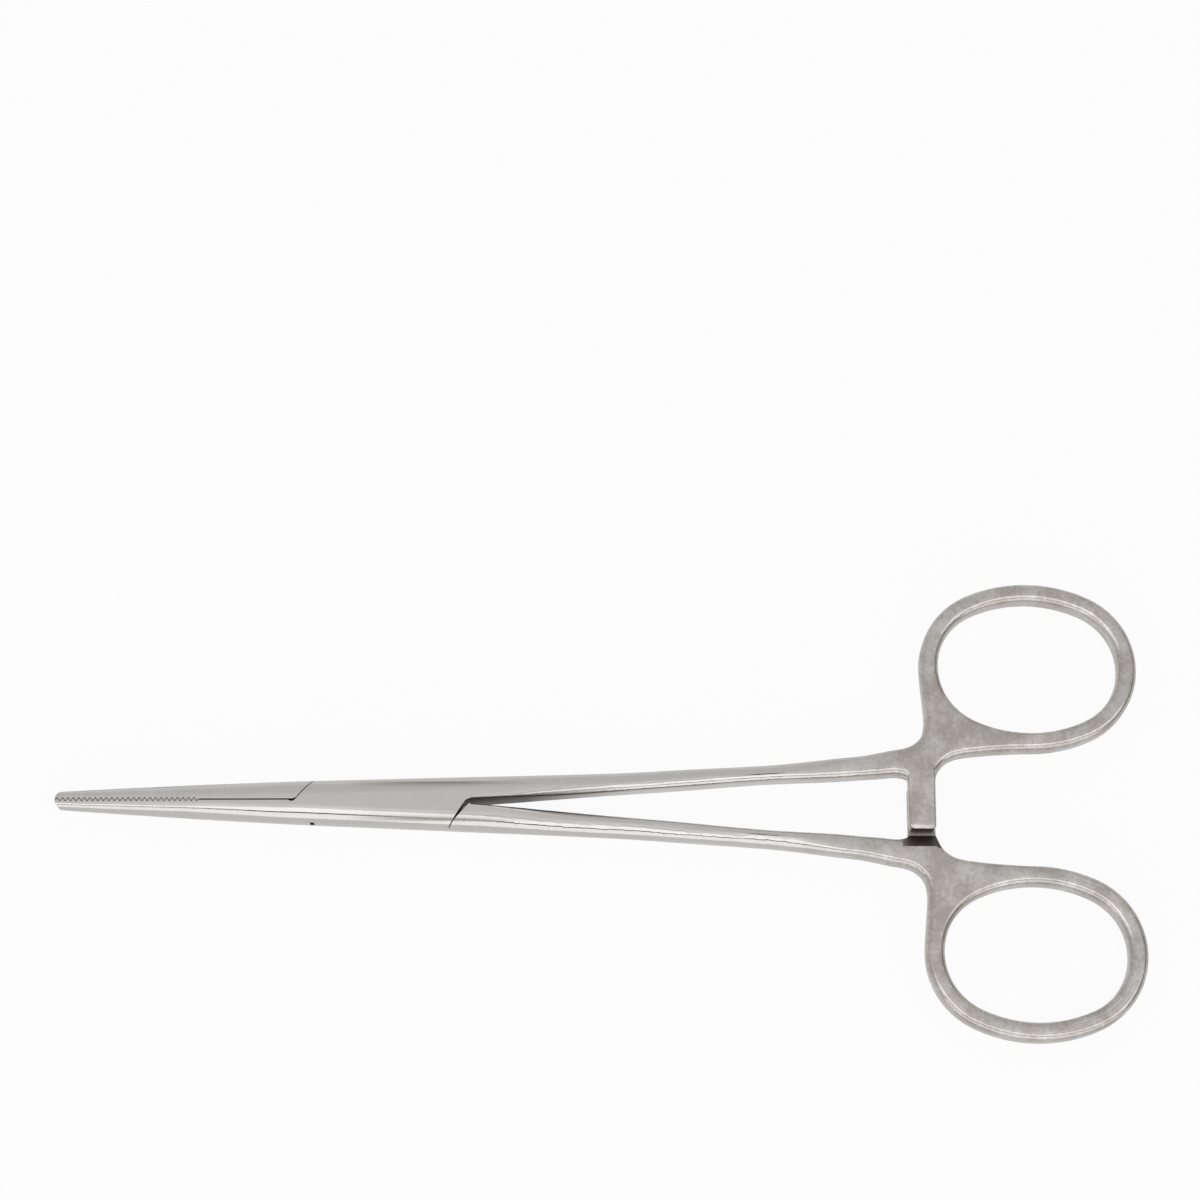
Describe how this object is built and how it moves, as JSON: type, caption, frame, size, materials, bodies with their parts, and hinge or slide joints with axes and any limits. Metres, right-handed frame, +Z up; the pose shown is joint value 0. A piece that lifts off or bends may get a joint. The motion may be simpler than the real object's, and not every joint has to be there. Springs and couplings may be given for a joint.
{
  "type": "hemostat forceps",
  "caption": "Straight clamping forceps with a box lock, finely serrated jaws, a ratchet catch between the shanks and oval finger rings.",
  "frame": {"origin": "on the pivot axis, at the flat underside of the box that the forceps rests on", "axes": "+X from the pivot toward the finger rings with the jaws toward -X, +Y toward the ring of the box half, +Z up along the pivot"},
  "size_m": [0.1392, 0.06, 0.0046],
  "materials": {
    "steel": "satin faces with polished rounded sides",
    "pin_steel": "satin, ground flush"
  },
  "bodies": {
    "box_side": {"box_half": "steel", "pivot_pin": "pin_steel"},
    "tongue_side": {"tongue_half": "steel"}
  },
  "joints": [
    {"name": "box_lock", "type": "hinge", "parent": "box_side", "child": "tongue_side", "pos_m": [0, 0, 0.0023], "axis": [0, 0, -1], "range_deg": [0, 60]}
  ]
}
